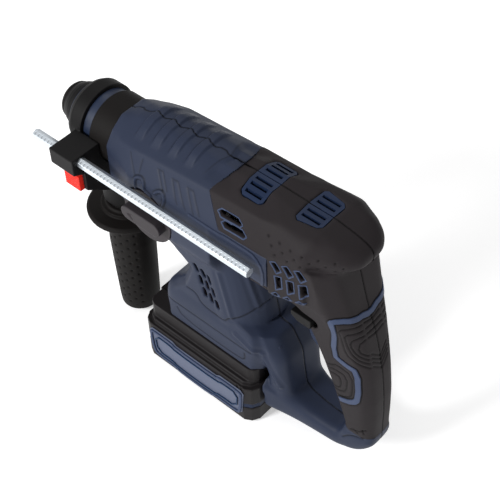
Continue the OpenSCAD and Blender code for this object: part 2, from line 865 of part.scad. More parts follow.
housing_left();
housing_right();
cover_left();
cover_right();
vent_insert_front();
vent_insert_rear();
nose_ring();
gear_case();
gear_case_lid();
motor_stator();
motor_bearings();
shaft_bearings();
spindle_bearing();
controller_board();
switch_body();
terminal_block();
terminal_blades();
housing_screws();
motor_rotor();
motor_fan();
motor_pinion();
layshaft();
bevel_gear();
wobble_ring();
piston();
striker();
impact_bolt();
spindle();
spindle_gear();
locking_balls();
sleeve_spring();
dust_cap();
locking_sleeve();
mode_knob();
mode_cam();
trigger();
direction_lever();
handle_collar();
handle_stud();
side_grip();
grip_end_plug();
depth_rod();
depth_button();
battery_lower();
battery_band();
battery_upper();
battery_labels();
battery_cells();
battery_latch();
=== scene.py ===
import json
import math

import bmesh
import bpy
import numpy as np
from mathutils import Matrix, Vector
from mathutils.bvhtree import BVHTree


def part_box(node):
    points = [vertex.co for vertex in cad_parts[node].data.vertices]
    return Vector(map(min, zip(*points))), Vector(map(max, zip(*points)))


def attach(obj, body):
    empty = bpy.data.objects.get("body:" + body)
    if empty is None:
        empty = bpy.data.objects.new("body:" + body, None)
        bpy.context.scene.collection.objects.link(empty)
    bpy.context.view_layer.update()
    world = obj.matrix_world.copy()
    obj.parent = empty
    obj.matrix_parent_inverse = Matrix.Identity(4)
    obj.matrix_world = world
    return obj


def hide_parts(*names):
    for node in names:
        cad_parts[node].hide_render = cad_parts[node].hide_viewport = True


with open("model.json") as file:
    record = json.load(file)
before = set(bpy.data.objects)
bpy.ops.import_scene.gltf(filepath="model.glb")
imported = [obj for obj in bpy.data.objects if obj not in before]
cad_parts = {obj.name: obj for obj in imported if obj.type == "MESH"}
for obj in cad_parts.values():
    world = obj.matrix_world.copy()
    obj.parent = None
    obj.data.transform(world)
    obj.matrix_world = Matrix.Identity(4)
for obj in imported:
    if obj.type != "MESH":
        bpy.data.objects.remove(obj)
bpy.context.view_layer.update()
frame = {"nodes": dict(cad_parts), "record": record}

NODES = frame["nodes"]
BODY = {n: b for b, names in frame["record"]["behaviour"]["bodies"].items() for n in names}
SLOT = {s["node"]: s["material_slot"] for s in frame["record"]["subparts"]}
MM = 0.001
scene = bpy.context.scene


def middle(node, axis):
    """The middle of a CAD node along one axis, in millimetres."""
    low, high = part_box(node)
    return (low[axis] + high[axis]) / 2 / MM


# places and sizes in millimetres, in the frame's axes
SPINDLE_Z = middle("nose_ring", 2)
GRIP_X = middle("side_grip", 0)
ROD_FACE = (0.5, 0.866)          # y and z of the normal of the rod's upper outer face
TICK_CENTRE = (44.5, 195.5)      # y and z that the rod's notches are centred on
TICK_PITCH = 3.4
LABEL_LINES_Y = 38.45            # where the strips over the battery's labels lie
MASTER_NET, MASTER_ROUNDS = 0.9, 70
SHELL_NET = 0.7
SHELL_REACH = 2.6                # how far a skin may move onto the smooth outside
SAME_WAY = 0.45                  # how far a skin's normal must agree with the smooth outside's
OUTSIDE_Y = 90                   # clear of the tool on either side
SEAM_RIM = 0.35                  # nearer the parting plane than this, y stays as it was
SEAM_FLAT = 1.2                  # nearer the parting plane than this, lift is never sideways
SEAM_WIDTH, SEAM_DEPTH = 0.55, 0.45
PATH_STEP, STRIP_STEP, LABEL_STEP = 0.5, 0.8, 1.0
TURN_STEPS = 96
KEEP_SIZE = 0.53                 # the push back that keeps a smoothed piece its size


# ---------- mesh arrays
def arrays(mesh):
    """Vertices, in millimetres, and the edges of a mesh."""
    co = np.empty(len(mesh.vertices) * 3)
    mesh.vertices.foreach_get("co", co)
    ed = np.empty(len(mesh.edges) * 2, np.int64)
    mesh.edges.foreach_get("vertices", ed)
    return co.reshape(-1, 3) / MM, ed.reshape(-1, 2)


def put(mesh, co):
    """Moves a mesh's vertices to co, in millimetres."""
    mesh.vertices.foreach_set("co", (co * MM).astype(np.float32).ravel())
    mesh.update()


def normals(mesh):
    """The vertex normals of a mesh."""
    no = np.empty(len(mesh.vertices) * 3, np.float32)
    mesh.vertex_normals.foreach_get("vector", no)
    return no.reshape(-1, 3).astype(float)


def paint_shade(mesh, amount):
    """Stores the painted shade of each vertex, from 0 to 1, for the materials to read: darkness
    laid into grooves, creases, dimples and notches where shade falls.
    """
    shade = mesh.attributes.new("shade", "FLOAT", "POINT")
    shade.data.foreach_set("value", np.clip(amount, 0, 1).astype(np.float32))


def link(name, mesh):
    """A new object in the scene that shows a mesh."""
    o = bpy.data.objects.new(name, mesh)
    scene.collection.objects.link(o)
    return o


def voxelled(name, nodes, size):
    """One closed mesh of some CAD nodes, on a fine even net."""
    bm = bmesh.new()
    for n in nodes:
        bm.from_mesh(NODES[n].data)
    bmesh.ops.remove_doubles(bm, verts=bm.verts, dist=2e-6)
    raw = bpy.data.meshes.new(name + "_raw")
    bm.to_mesh(raw)
    bm.free()
    o = link(name + "_raw", raw)
    m = o.modifiers.new("net", "REMESH")
    m.mode = "VOXEL"
    m.voxel_size = size * MM
    m.adaptivity = 0
    dg = bpy.context.evaluated_depsgraph_get()
    mesh = bpy.data.meshes.new_from_object(o.evaluated_get(dg))
    mesh.name = name
    bpy.data.objects.remove(o)
    bpy.data.meshes.remove(raw)
    return mesh


def relax(co, ed, weight, rounds, back=0.0):
    """Even smoothing. With back, every second step pushes out again, which keeps the size."""
    count = len(co)
    a, b = ed[:, 0], ed[:, 1]
    degree = np.maximum(np.bincount(ed.ravel(), minlength=count), 1)[:, None]
    w = np.broadcast_to(np.asarray(weight, float).reshape(-1, 1), (count, 1))
    for _ in range(rounds):
        for f in (0.5, -back) if back else (0.5,):
            mean = np.stack([np.bincount(a, co[b, k], count) + np.bincount(b, co[a, k], count)
                             for k in range(3)], 1) / degree
            co = co + f * w * (mean - co)
    return co


def step(v, a, b):
    """Smoothly from 0 at a to 1 at b."""
    t = np.clip((v - a) / (b - a), 0, 1)
    return t * t * (3 - 2 * t)


def bell(d, width):
    """1 where d is 0, falling off smoothly over width."""
    return np.exp(-(d / width) ** 2)


def score(lift, painted_shade, d, depth, width, shade_amount, shade_width):
    """Cuts a line into the surface and paints shade into it, with d the distance from the line."""
    lift -= depth * bell(d, width)
    painted_shade += shade_amount * bell(d, shade_width)


def inside(co, boxes, soft):
    """1 inside any of the boxes and 0 further than soft outside them."""
    out = np.zeros(len(co))
    for x0, x1, y0, y1, z0, z1 in boxes:
        d = np.maximum.reduce([x0 - co[:, 0], co[:, 0] - x1, y0 - co[:, 1], co[:, 1] - y1,
                               z0 - co[:, 2], co[:, 2] - z1, np.zeros(len(co))])
        out = np.maximum(out, np.clip(1 - d / soft, 0, 1))
    return out


SHELLS = ["housing_left", "housing_right", "cover_left", "cover_right"]
# x0, x1, y0, y1, z0, z1 of the places that keep their crisp edges
CRISP = [(-70, 60, 34, 60, 170, 204), (-60, -27, -60, -25, 209, 223), (-60, -27, 25, 60, 209, 223),
         (-112, -70, 26, 60, 170, 212), (-112, -70, -60, -26, 170, 212),
         (-115, -15, -22, 22, 233, 245), (78, 90, -60, 60, 160, 230),
         (-70, 50, -40, 40, 38, 64), (8, 60, 28, 60, 148, 196),
         (-24, 26, 22, 45, 98, 146), (-24, 26, -45, -22, 98, 146)]
# the roof's shoulder ridges and the drum's facets, which stay fairly sharp
FIRM = [(-70, 70, 19, 35, 210, 232), (-70, 70, -35, -19, 210, 232), (-64, -12, 8, 40, 84, 150),
        (-64, -12, -40, -8, 84, 150)]


def master_surface():
    """The smooth outside that all four shell pieces share."""
    mesh = voxelled("master", SHELLS, MASTER_NET)
    co, ed = arrays(mesh)
    w = np.minimum(1 - 0.93 * inside(co, CRISP, 4), 1 - 0.86 * inside(co, FIRM, 5))
    co = relax(co, ed, w, MASTER_ROUNDS)
    faces = [tuple(p.vertices) for p in mesh.polygons]
    tree = BVHTree.FromPolygons([tuple(c) for c in co], faces)
    bpy.data.meshes.remove(mesh)
    return tree


MASTER = master_surface()


def on_side(x, z, side):
    """Point and normal of the smooth outside at x, z, from the left (side 1) or right (-1)."""
    hit = MASTER.ray_cast(Vector((x, OUTSIDE_Y * side, z)), Vector((0, -side, 0)))
    return hit[0], hit[1]


def resampled(points, gap=PATH_STEP, closed=False):
    """Even samples along straight runs between points."""
    p = [np.array(q, float) for q in points]
    if closed:
        p.append(p[0])
    out = []
    for a, b in zip(p, p[1:]):
        n = max(1, int(np.linalg.norm(b - a) / gap))
        out += [a + (b - a) * i / n for i in range(n)]
    if not closed:
        out.append(p[-1])
    return out


def rounded(points, rounds=2, closed=False):
    """Chaikin corner rounding."""
    p = [np.array(q, float) for q in points]
    for _ in range(rounds):
        n = len(p)
        q = [] if closed else [p[0]]
        for i in range(n if closed else n - 1):
            a, b = p[i], p[(i + 1) % n]
            q += [a * 0.75 + b * 0.25, a * 0.25 + b * 0.75]
        p = q if closed else q + [p[-1]]
    return p


def side_path(points, side, soft=2):
    """Points of the smooth outside along an x, z path."""
    out = []
    for x, z in resampled(rounded(points, soft)):
        hit, _ = on_side(x, z, side)
        if hit is not None:
            out.append(tuple(hit))
    return np.array(out).reshape(-1, 3)


def distance_to(co, spots, reach):
    """How far each vertex is from the nearest of some spots, up to reach."""
    d = np.full(len(co), reach * 1.0)
    if not len(spots):
        return d
    low, high = spots.min(0) - reach, spots.max(0) + reach
    near = np.flatnonzero(((co > low) & (co < high)).all(1))
    batch = 4000
    for k in range(0, len(near), batch):
        part_of = near[k:k + batch]
        gap = co[part_of][:, None, :] - spots[None, :, :]
        d[part_of] = np.minimum(reach, np.sqrt((gap ** 2).sum(2)).min(1))
    return d


def snapped(points, side, gap=PATH_STEP, closed=False, soft=1):
    """Even points along a free run, laid on the nearest smooth outside, and their normals."""
    spots, ups = [], []
    reach = 30
    for x, y, z in resampled(rounded(points, soft, closed), gap, closed):
        # a point on a flank starts further out, or it would find the inner wall
        push = 1.3 if abs(y) > 8 else 1
        hit, normal, _, _ = MASTER.find_nearest(Vector((x, y * side * push, z)), reach)
        if hit is not None:
            spots.append(np.array(hit))
            ups.append(np.array(normal))
    return np.array(spots).reshape(-1, 3), ups


# rear and front x of the ribs across the roof, by the seam
RIBS = ((48.5, 56), (32.8, 40.3), (17.3, 24.3), (1.8, 8.8))
# x, z runs on the flanks: thin creases, deep lines, raised ridges and the two signs
CREASES = [[(17, 208), (26.6, 218.5), (22.4, 219), (14.4, 210)],
           [(3.2, 206), (13, 218.5), (7.8, 219), (-4.5, 206)],
           [(-12, 206.5), (-1.1, 219.3), (-6.5, 219.4), (-17, 208)],
           [(44.8, 206.4), (53.9, 217.4)], [(41.5, 210), (41.7, 218)]]
BLUE_LINES = [
    [(11, 107), (2, 107), (-4, 98), (-27, 98), (-30, 104), (-40, 109), (-57, 128), (-66, 150)],
    [(31, 82), (-52, 82)],
    [(22, 77), (18, 69), (-8, 66), (-42, 66), (-46, 70), (-46, 77)],
    [(-128.5, 33.4), (-134.3, 40.5), (-144.6, 43)],
]
RIDGES = [[(-23, 147), (-33, 106)], [(-39, 152), (-48, 119)], [(-36.5, 92), (-60, 84.5)],
          [(-59.5, 83), (-67, 67), (-74, 52)]]
SIGNS = [[(45, 194), (44.4, 203.5), (42, 206.6), (37, 207.8), (35, 204.6), (36, 199), (29, 197)],
         [(24.6, 203), (20.8, 207), (16.6, 207.8), (15, 203.3), (16.6, 198.7), (18.6, 194)]]


def dip(co):
    """The roof sinks a little where the blue housing meets the rubber cover."""
    x, z, s = co[:, 0], co[:, 2], np.abs(co[:, 1])
    d = -14 + 0.35 * s - x
    return 1.5 * step(d, -1, 5) * (1 - step(-x, 24, 37)) * step(z, 224, 229) * (1 - step(s, 14, 24))


def blue_detail(co, side):
    """Lift and painted shade on a blue half."""
    x, z, s = co[:, 0], co[:, 2], np.abs(co[:, 1])
    lift, painted_shade = -dip(co), np.zeros(len(co))
    # broad ribs across the gear housing, each with a bevelled rear edge and painted shade along the
    # step at its front
    top = step(z, 218, 224) * (1 - step(s, 13, 23))
    lean = x - 1.5 * s / 19
    for a, b in RIBS:
        lift += 1.5 * top * step(lean, a - 0.8, a + 0.9) * (1 - step(lean, b - 0.5, b + 0.5))
        painted_shade += 0.5 * top * bell(lean - b - 0.8, 0.6)
    # painted shade along the crease where the roof dips down to the rubber cover
    painted_shade += 0.5 * top * bell(x + 14 - 0.35 * s, 0.5)
    # the creases and the deep lines are cut in and painted with shade
    for run in CREASES:
        score(lift, painted_shade, distance_to(co, side_path(run, side, soft=0), 4), 0.35, 0.8, 0.5, 0.7)
    for run in BLUE_LINES:
        score(lift, painted_shade, distance_to(co, side_path(run, side), 3), 0.6, 0.75, 1, 0.6)
    for run in RIDGES:
        d = distance_to(co, side_path(run, side), 6)
        lift += 0.7 * bell(d, 1.5) - 0.25 * bell(d - 3.4, 1.6)
    if side > 0:
        for run in SIGNS:
            d = distance_to(co, side_path(run, side, soft=1), 3)
            lift += 1.0 * (1 - step(d, 0.7, 1.4))
            # painted shade round the foot of each raised sign
            painted_shade += 0.75 * bell(d - 1.6, 0.5)
    return lift, painted_shade


# x, y, z runs on the cover: the blue band down both flanks of the handle and over its back
BAND = [(-134, 0, 167), (-132, 9, 170), (-127.5, 20, 172.5), (-123, 25, 169.5), (-122, 25, 163),
        (-117.5, 18, 125), (-127.5, 18, 122), (-139.5, 17, 122), (-141, 17, 92),
        (-135.5, 16.5, 83), (-123, 16, 77)]
# nested grooves within the band's upper and lower bends, and short ones at the handle's foot
GRIP_LINES = [
    [(-135, 0, 162), (-134, 11, 164.5), (-127, 22, 163), (-127, 21, 149), (-129.5, 19, 135),
     (-137, 17, 132.5), (-145, 9, 126), (-147, 0, 118)],
    [(-136, 0, 158.5), (-136, 11, 159.5), (-131, 19, 158.5), (-131.5, 20, 149), (-134.5, 19, 141),
     (-139.5, 15, 135), (-144, 8, 129.5), (-146.5, 0, 122)],
    [(-137.5, 0, 154.5), (-136, 15, 155), (-134.5, 18, 148.5), (-138.5, 15, 140), (-143.5, 8, 133),
     (-146, 0, 126)],
    [(-139, 0, 150), (-138.5, 11, 152), (-139, 14, 143), (-142.5, 7, 136), (-145, 0, 129.5)],
    [(-110, 12, 108), (-117, 17, 112), (-120.5, 17, 115.5), (-134.5, 17, 114), (-135, 17, 92.5),
     (-132, 16.5, 86), (-124, 16, 81.5), (-117, 12, 80)],
    [(-112, 12, 105), (-118.5, 17, 109), (-130, 17, 109), (-130, 17, 91.5), (-122.5, 16, 87),
     (-116, 12, 85.5)],
    [(-113, 12, 101), (-119.5, 17, 104), (-124.5, 17, 103), (-125, 17, 94), (-121.5, 16, 89.5),
     (-115, 12, 88.5)],
    [(-134, 15, 47.5), (-143.5, 15, 52.5), (-148, 12, 56)],
    [(-137, 15, 50.5), (-141, 15, 48)], [(-145.5, 14, 55), (-147, 13, 51)],
]


def grey_detail(co, side):
    """Lift and painted shade on a rubber half."""
    lift, painted_shade = -dip(co), np.zeros(len(co))
    # rows of small dimples along the shoulder, pressed in and painted with shade
    spots = [on_side(-72 - 9.6 * i - 4.6 * k, 222.5 - 4.0 * k + 0.3 * i, side)[0]
             for i in range(6) for k in range(3)]
    spots = np.array([tuple(hit) for hit in spots if hit is not None])
    score(lift, painted_shade, distance_to(co, spots, 4), 0.9, 0.9, 0.8, 0.8)
    # a joint along each edge of the blue band, cut as a groove and painted with shade
    d = distance_to(co, snapped(BAND, side)[0], 5)
    lift -= 0.5 * bell(d - 2.9, 0.6)
    painted_shade += bell(d - 2.8, 0.55)
    # the grip's grooves are cut in and painted with shade
    for run in GRIP_LINES:
        score(lift, painted_shade, distance_to(co, snapped(run, side)[0], 3), 0.75, 0.7, 0.9, 0.6)
    return lift, painted_shade


def seam_wave(co):
    """The parting line wanders from side to side between the ribs."""
    x, y, z = co.T
    w = bell(y, 7) * step(z, 205, 222) * step(x, -22, -12) * (1 - step(x, 76, 81))
    rib_pitch = 15.6
    return 0.9 * w * np.clip(1.7 * np.sin((x - 13) * 2 * math.pi / rib_pitch), -1, 1)


def drape(co, no, reach):
    """Moves the outer skin of a piece onto the smooth outside, and says which vertices moved."""
    out = np.zeros(len(co))
    way = no.copy()
    for i, (p, n) in enumerate(zip(co, no)):
        hit, normal, _, _ = MASTER.find_nearest(p, reach)
        if hit is not None and normal.dot(Vector(n)) > SAME_WAY:
            co[i] = hit
            way[i] = normal
            out[i] = 1
    return co, out, way


def shell(name, node, side, detail, wave):
    """A shell half: the CAD half on a fine net, laid on the smooth outside, with its detail."""
    mesh = voxelled(name, [node], SHELL_NET)
    co, ed = arrays(mesh)
    rim = np.abs(co[:, 1]) < SEAM_RIM
    co, out, way = drape(co, normals(mesh), SHELL_REACH)
    y = co[:, 1].copy()
    co = relax(co, ed, np.ones(len(co)), 6, KEEP_SIZE)
    co[:, 1] = np.where(rim, y, co[:, 1])
    lift, painted_shade = detail(co, side)
    # the seam along the parting plane is cut in as a groove and painted with shade
    seam = bell(co[:, 1], SEAM_WIDTH) * (out + rim > 0)
    lift = lift * out - SEAM_DEPTH * seam * out
    way[:, 1] = np.where(np.abs(co[:, 1]) < SEAM_FLAT, 0, way[:, 1])
    length = np.maximum(np.linalg.norm(way, axis=1), 1e-6)[:, None]
    co = co + way / length * lift[:, None]
    if wave:
        co[:, 1] += seam_wave(co)
    put(mesh, co)
    paint_shade(mesh, painted_shade * out + seam)
    mesh.shade_smooth()
    return link(name, mesh)


def part(name, node, size, rounds, back=KEEP_SIZE):
    """A CAD node with its moulded edges softened."""
    mesh = voxelled(name, [node], size)
    co, ed = arrays(mesh)
    put(mesh, relax(co, ed, np.ones(len(co)), rounds, back))
    mesh.shade_smooth()
    return link(name, mesh)


def skin(name, bundles, closed=False):
    """One mesh with a skin over each bundle of rings, with flat ends where it isn't closed."""
    bm = bmesh.new()
    for rings in bundles:
        rows = [[bm.verts.new(Vector(p) * MM) for p in ring] for ring in rings]
        n = len(rows[0])
        for a, b in list(zip(rows, rows[1:])) + ([(rows[-1], rows[0])] if closed else []):
            for i in range(n):
                bm.faces.new((a[i], a[(i + 1) % n], b[(i + 1) % n], b[i]))
        if not closed:
            bm.faces.new(list(reversed(rows[0])))
            bm.faces.new(rows[-1])
    bmesh.ops.recalc_face_normals(bm, faces=bm.faces)
    mesh = bpy.data.meshes.new(name)
    bm.to_mesh(mesh)
    bm.free()
    return link(name, mesh)


def turned(name, profile):
    """A piece turned round the spindle: profile is a closed ring of (x, radius) pairs."""
    rings = []
    for k in range(TURN_STEPS):
        a = 2 * math.pi * k / TURN_STEPS
        rings.append([(x, r * math.cos(a), SPINDLE_Z + r * math.sin(a)) for x, r in profile])
    return skin(name, [rings], closed=True)


def ridge_rings(spots, ups, width, height, closed):
    """Cross-sections of a raised strip along some spots, each with its own way up."""
    h, root, bevel = width / 2, -0.7, 0.35
    outline = ((-h, root), (-h, height * 0.4), (-h + bevel, height),
               (h - bevel, height), (h, height * 0.4), (h, root))
    n = len(spots)
    rings = []
    for i in range(n):
        ahead = spots[(i + 1) % n] if closed or i < n - 1 else spots[i]
        behind = spots[i - 1] if closed or i > 0 else spots[i]
        t = ahead - behind
        t = t / max(np.linalg.norm(t), 1e-6)
        u = ups[i] / np.linalg.norm(ups[i])
        w = np.cross(t, u)
        w = w / max(np.linalg.norm(w), 1e-6)
        rings.append([tuple(spots[i] + w * a + u * b) for a, b in outline])
    return rings


def strips(name, runs, width, height, closed=False, soft=1, sides=(1, -1), flank=False):
    """One mesh with a raised strip along each free run, or, on a flank, each x, z run."""
    bundles = []
    for side in sides:
        for run in runs:
            if flank:
                track = resampled(rounded(run, soft, closed), STRIP_STEP, closed)
                hits = [h for h in (on_side(x, z, side) for x, z in track) if h[0] is not None]
                spots, ups = np.array([h[0] for h in hits]), [np.array(h[1]) for h in hits]
            else:
                spots, ups = snapped(run, side, STRIP_STEP, closed, soft)
            bundles.append(ridge_rings(spots, ups, width, height, closed))
    return skin(name, bundles, closed)


def flat_strips(name, run, width, height):
    """A closed raised strip along an x, z run on each of the battery's two labels."""
    bundles = []
    for side in (1, -1):
        track = [np.array((x, LABEL_LINES_Y * side, z)) for x, z in
                 resampled(rounded(run, 1, True), LABEL_STEP, True)]
        ups = [np.array((0, side, 0.0))] * len(track)
        bundles.append(ridge_rings(track, ups, width, height, True))
    return skin(name, bundles, closed=True)


def carved(name, node, size, rounds, cut):
    """A softened CAD node with a pressed-in pattern: cut gives depth and painted shade per vertex.
    """
    mesh = voxelled(name, [node], size)
    co, ed = arrays(mesh)
    co = relax(co, ed, np.ones(len(co)), rounds, KEEP_SIZE)
    put(mesh, co)
    no = normals(mesh)
    depth, painted_shade = cut(co, no)
    put(mesh, co - no * depth[:, None])
    paint_shade(mesh, painted_shade)
    mesh.shade_smooth()
    return link(name, mesh)


def dimples(co, no):
    """Staggered dimples round the side handle, with a smooth strip on its rear."""
    columns, pitch = 20, 9
    turn = np.arctan2(co[:, 1], co[:, 0] - GRIP_X)
    column = turn / (2 * math.pi) * columns
    odd = np.round(column) % 2
    across = (column - np.round(column)) * 5.6
    rise = (co[:, 2] - 14 - pitch / 2 * odd) / pitch
    along = (rise - np.round(rise)) * pitch
    on = (co[:, 2] > 10) & (co[:, 2] < 102) & (np.abs(np.abs(turn) - math.pi) > 0.42)
    on = on & (np.hypot(co[:, 0] - GRIP_X, co[:, 1]) > 12)
    d = np.where(on, np.hypot(across, along), pitch)
    # depth, and painted shade in each dimple
    return 0.9 * bell(d, 1.05), 0.9 * bell(d, 1)


def ticks(co, no):
    """Short measuring notches along the depth rod's upper outer face, with painted shade in each
    notch.
    """
    fy, fz = ROD_FACE
    face = step(no[:, 1] * fy + no[:, 2] * fz, 0.93, 0.98)
    v = (co[:, 1] - TICK_CENTRE[0]) * fz - (co[:, 2] - TICK_CENTRE[1]) * fy
    p = co[:, 0] / TICK_PITCH
    stroke = bell((p - np.round(p)) * TICK_PITCH, 0.42)
    stroke = stroke * step(v, -1.1, -0.7) * (1 - step(v, 1.2, 1.6))
    return 0.15 * stroke * face, 0.6 * stroke * face


# ---------- materials
BROAD_NOISE = 22
BUMP_DEPTH = 0.0003              # metres
ROUGH_SPREAD = 0.07              # how far the roughness wanders either way
EDGE_FROM, EDGE_TO = 0.52, 0.62  # the pointiness where the edge wear and painted highlight start and are full
SHADE_FLOOR = 0.12               # what is left of the colour where the painted shade is darkest, in the deepest groove


def noise(nd, ln, vector, scale, detail):
    """A noise texture node."""
    tex = nd.new("ShaderNodeTexNoise")
    tex.inputs["Scale"].default_value = scale
    tex.inputs["Detail"].default_value = detail
    ln.new(vector, tex.inputs["Vector"])
    return tex.outputs["Fac"]


def blended(nd, ln, base, colour, factor):
    """A colour mix node: base turns into colour as factor goes from 0 to 1."""
    mix = nd.new("ShaderNodeMix")
    mix.data_type = "RGBA"
    mix.inputs["B"].default_value = list(colour) + [1]
    if isinstance(base, bpy.types.NodeSocket):
        ln.new(base, mix.inputs["A"])
    else:
        mix.inputs["A"].default_value = list(base) + [1]
    ln.new(factor, mix.inputs["Factor"])
    return mix.outputs["Result"]


def spread(nd, ln, value, names, limits):
    """A map range node with the named limits."""
    node = nd.new("ShaderNodeMapRange")
    for name, limit in zip(names, limits):
        node.inputs[name].default_value = limit
    ln.new(value, node.inputs["Value"])
    return node.outputs["Result"]


def surface(name, colour, rough=0.5, metal=0.0, grain=900.0, bump=0.12, vary=0.12, wear_and_highlight=0.0,
            spec=0.35, stretch=(1, 1, 1), shaded=False):
    """A material with fine grain, broad random tone changes and its edges a little lighter, as edge
    wear and a painted highlight.
    """
    mat = bpy.data.materials.new(name)
    mat.use_nodes = True
    nd, ln = mat.node_tree.nodes, mat.node_tree.links
    p = nd["Principled BSDF"]
    place = nd.new("ShaderNodeMapping")
    place.inputs["Scale"].default_value = stretch
    ln.new(nd.new("ShaderNodeTexCoord").outputs["Object"], place.inputs["Vector"])
    fine = noise(nd, ln, place.outputs["Vector"], grain, 3)
    wide = noise(nd, ln, place.outputs["Vector"], BROAD_NOISE, 4)
    colour_out = blended(nd, ln, [c * (1 - vary) for c in colour],
                         [min(1, c * (1 + vary)) for c in colour], wide)
    # edge wear and a painted highlight: convex edges, picked out by pointiness, turn lighter
    if wear_and_highlight:
        edge = spread(nd, ln, nd.new("ShaderNodeNewGeometry").outputs["Pointiness"],
                      ("From Min", "From Max", "To Max"), (EDGE_FROM, EDGE_TO, wear_and_highlight))
        worn_and_lit = [min(1, c * 1.9 + 0.01) for c in colour]
        colour_out = blended(nd, ln, colour_out, worn_and_lit, edge)
    # painted shade: the shade attribute takes the colour down towards SHADE_FLOOR in grooves,
    # creases, dimples and notches
    if shaded:
        shade = nd.new("ShaderNodeAttribute")
        shade.attribute_name = "shade"
        painted_shade_colour = [c * SHADE_FLOOR for c in colour]
        colour_out = blended(nd, ln, colour_out, painted_shade_colour, shade.outputs["Fac"])
    ln.new(colour_out, p.inputs["Base Color"])
    rough_out = spread(nd, ln, wide, ("To Min", "To Max"),
                       (max(0.02, rough - ROUGH_SPREAD), min(1, rough + ROUGH_SPREAD)))
    ln.new(rough_out, p.inputs["Roughness"])
    relief = nd.new("ShaderNodeBump")
    relief.inputs["Strength"].default_value = bump
    relief.inputs["Distance"].default_value = BUMP_DEPTH
    ln.new(fine, relief.inputs["Height"])
    ln.new(relief.outputs["Normal"], p.inputs["Normal"])
    p.inputs["Metallic"].default_value = metal
    p.inputs["Specular IOR Level"].default_value = spec
    mat.diffuse_color = list(colour) + [1]
    return mat


MATS = {
    "blue_shell": surface("moulded_blue", (0.0190, 0.0255, 0.0480), 0.5, wear_and_highlight=0.45, spec=0.14,
                          shaded=True),
    "grey_rubber": surface("soft_grey", (0.0185, 0.0155, 0.0170), 0.6, grain=700, bump=0.18,
                           wear_and_highlight=0.3, spec=0.10, shaded=True),
    "blue_accent": surface("accent_blue", (0.0085, 0.0165, 0.0420), 0.45, wear_and_highlight=0.3, spec=0.14),
    "black_rubber": surface("black_rubber", (0.0068, 0.0058, 0.0055), 0.6, grain=600, bump=0.2,
                            spec=0.10, shaded=True),
    "black_plastic": surface("black_plastic", (0.0055, 0.0052, 0.0055), 0.55, wear_and_highlight=0.4, spec=0.12,
                             shaded=True),
    "red_plastic": surface("red_plastic", (0.70, 0.020, 0.010), 0.42, vary=0.06, spec=0.2),
    "zinc_steel": surface("zinc_steel", (0.62, 0.67, 0.72), 0.36, metal=0.85, grain=300, bump=0.05,
                          vary=0.08, stretch=(1, 6, 6), shaded=True),
    "hard_steel": surface("ground_steel", (0.45, 0.45, 0.46), 0.32, metal=1, grain=400, bump=0.08,
                          vary=0.1),
    "cast_alloy": surface("cast_alloy", (0.012, 0.020, 0.045), 0.4, grain=500, bump=0.15),
    "winding_copper": surface("winding_copper", (0.55, 0.22, 0.08), 0.35, metal=1, grain=500,
                              bump=0.4, vary=0.2),
    "contact_brass": surface("contact_brass", (0.78, 0.55, 0.22), 0.28, metal=1, grain=300,
                             bump=0.05, vary=0.08),
    "board_green": surface("board_green", (0.01, 0.12, 0.04), 0.3, grain=200, bump=0.05, vary=0.2),
    "cell_wrap": surface("cell_wrap", (0.03, 0.16, 0.4), 0.3, grain=200, bump=0.03, vary=0.06),
}

RIM = surface("rim_blue", (0.030, 0.044, 0.088), 0.45, wear_and_highlight=0.3, spec=0.14)
LABEL = surface("label_grey", (0.090, 0.105, 0.155), 0.5, vary=0.06, spec=0.14, wear_and_highlight=0.3)
LABEL_LINE = surface("label_line", (0.010, 0.030, 0.075), 0.45, spec=0.14)
PACK = surface("battery_black", (0.0120, 0.0105, 0.0112), 0.5, wear_and_highlight=0.5, spec=0.14)
KNOB = surface("knob_grey", (0.028, 0.024, 0.027), 0.5, wear_and_highlight=0.3, spec=0.14)


def dress(o, slot, look=None):
    """Gives a piece its material: look if given, else the material of the record's slot that it
    stands under.
    """
    o.data.materials.clear()
    o.data.materials.append(look or MATS[slot])


def stands_for(o, node, look=None):
    """Makes a piece take the place of a CAD node and ride on that node's body."""
    dress(o, SLOT[node], look)
    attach(o, BODY[node])
    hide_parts(node)


def trim(o, node, slot, look=None):
    """Makes a piece ride with a CAD node that it lies on."""
    dress(o, slot, look)
    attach(o, BODY[node])


for n, o in NODES.items():
    o.data.materials.clear()
    o.data.materials.append(MATS[SLOT[n]])

# ---------- housing and cover halves
for n in SHELLS:
    side = 1 if n.endswith("left") else -1
    blue = n.startswith("housing")
    detail = blue_detail if blue else grey_detail
    stands_for(shell(n + "_skin", n, side, detail, wave=blue), n)

# ---------- blue band on the handle
mirrored = [(x, -y, z) for x, y, z in BAND[1:]]
band = strips("handle_band", [BAND[::-1] + mirrored], 4.4, 0.55, sides=(1,))
trim(band, "cover_left", "blue_accent", RIM)

# ---------- blue rims round the side openings
VENT_COLUMNS = 3
VENT_STEP = (-9.1, 1.2)
# the three openings of the front column, as x, z corners
VENTS = [[(-77.9, 207), (-82, 209.2), (-86.7, 202.6), (-82.9, 198.6)],
         [(-81.2, 195.4), (-86.6, 197.2), (-87.2, 186.5), (-82.4, 182.3)],
         [(-78.8, 176.4), (-82.2, 179.7), (-85.4, 177.6), (-82, 174.1)]]
# the two long slots: where each starts, and the corners of its rim from there
SLOT_STARTS = [(-30.3, 216.4), (-35.7, 211.2)]
SLOT_RIM = [(0.8, 1.7), (-1.7, 3.9), (-16.2, 4.5), (-20.9, 1.7), (-19, -0.4), (-2.8, -0.8)]


def opening_outlines():
    """The outlines of the side openings, as x, z runs."""
    vents = [[(x + VENT_STEP[0] * i, z + VENT_STEP[1] * i) for x, z in vent]
             for i in range(VENT_COLUMNS) for vent in VENTS]
    slots = [[(a + x, b + z) for x, z in SLOT_RIM] for a, b in SLOT_STARTS]
    return vents + slots


